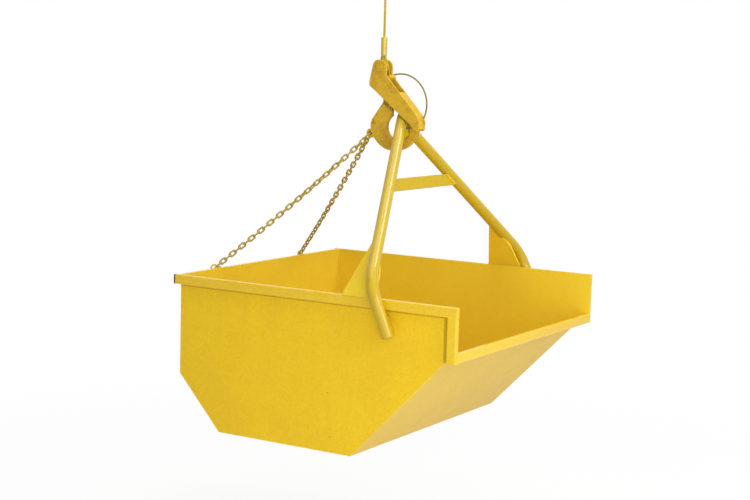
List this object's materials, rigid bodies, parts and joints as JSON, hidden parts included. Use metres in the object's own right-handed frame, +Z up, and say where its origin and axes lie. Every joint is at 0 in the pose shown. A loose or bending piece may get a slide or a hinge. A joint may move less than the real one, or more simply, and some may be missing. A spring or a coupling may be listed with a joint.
{
  "type": "mucking bucket",
  "caption": "Open steel mucking bucket with sloped ends, a bent-tube bail, rear chains and a keeper-locked plate hook on a rope pendant, for lifting spoil by crane.",
  "frame": {"origin": "centre of the bore in the rope pendant's upper thimble, which carries the whole part", "axes": "+Z up along the rope, +X towards the pouring lip, +Y from the near end plate to the far one"},
  "size_m": [1.5653, 1.5284, 2.252],
  "materials": {
    "yellow_paint": "worn satin paint over mild steel",
    "hook_paint": "brushed-on paint over profile-cut plate",
    "chain_paint": "painted welded chain, worn at the crowns",
    "rope_wire": "wire rope, greased and yellowed",
    "ferrule": "pressed ferrule, painted over",
    "bow_wire": "bent rod, dull paint",
    "cap_plastic": "moulded black end caps",
    "pin_steel": "turned steel, oiled"
  },
  "bodies": {
    "pendant": {"upper_thimble": "pin_steel", "upper_rope_loop": "rope_wire", "upper_ferrule": "ferrule", "hoist_rope": "rope_wire", "lower_ferrule": "ferrule", "lower_rope_loop": "rope_wire", "lower_thimble": "pin_steel"},
    "hook": {"hook_plate": "hook_paint", "near_hook_strap": "hook_paint", "far_hook_strap": "hook_paint", "strap_rivets": "hook_paint", "rope_pin": "pin_steel", "rope_pin_washer": "pin_steel", "rope_pin_cotter": "pin_steel", "chain_ring": "chain_paint", "near_chain": "chain_paint", "far_chain": "chain_paint"},
    "keeper": {"near_keeper_cheek": "hook_paint", "far_keeper_cheek": "hook_paint", "keeper_bridge": "hook_paint", "keeper_spine": "hook_paint", "keeper_nose_pin": "hook_paint", "pull_bow": "bow_wire"},
    "bucket": {"near_end_plate": "yellow_paint", "far_end_plate": "yellow_paint", "back_wall": "yellow_paint", "back_slope": "yellow_paint", "floor_plate": "yellow_paint", "front_slope": "yellow_paint", "near_side_rim": "yellow_paint", "far_side_rim": "yellow_paint", "near_rim_cap": "cap_plastic", "far_rim_cap": "cap_plastic", "back_rim": "yellow_paint", "near_front_post": "yellow_paint", "far_front_post": "yellow_paint", "lip_bar": "yellow_paint", "near_bail_leg": "yellow_paint", "far_bail_leg": "yellow_paint", "bail_brace": "yellow_paint", "apex_bar": "yellow_paint", "near_gusset": "yellow_paint", "far_gusset": "yellow_paint", "near_leg_pad": "yellow_paint", "far_leg_pad": "yellow_paint", "near_chain_lug": "yellow_paint", "far_chain_lug": "yellow_paint"}
  },
  "joints": [
    {"name": "hook_swing", "type": "hinge", "parent": "pendant", "child": "hook", "pos_m": [0, 0, -0.491], "axis": [0, 1, 0], "range_deg": [-20, 20]},
    {"name": "keeper_open", "type": "hinge", "parent": "hook", "child": "keeper", "pos_m": [0, 0, -0.491], "axis": [0, -1, 0], "range_deg": [0, 40]},
    {"name": "bucket_tip", "type": "hinge", "parent": "hook", "child": "bucket", "pos_m": [0.13637, 0, -0.80266], "axis": [0, 1, 0], "range_deg": [0, 10], "deforming": ["near_chain", "far_chain"]}
  ]
}
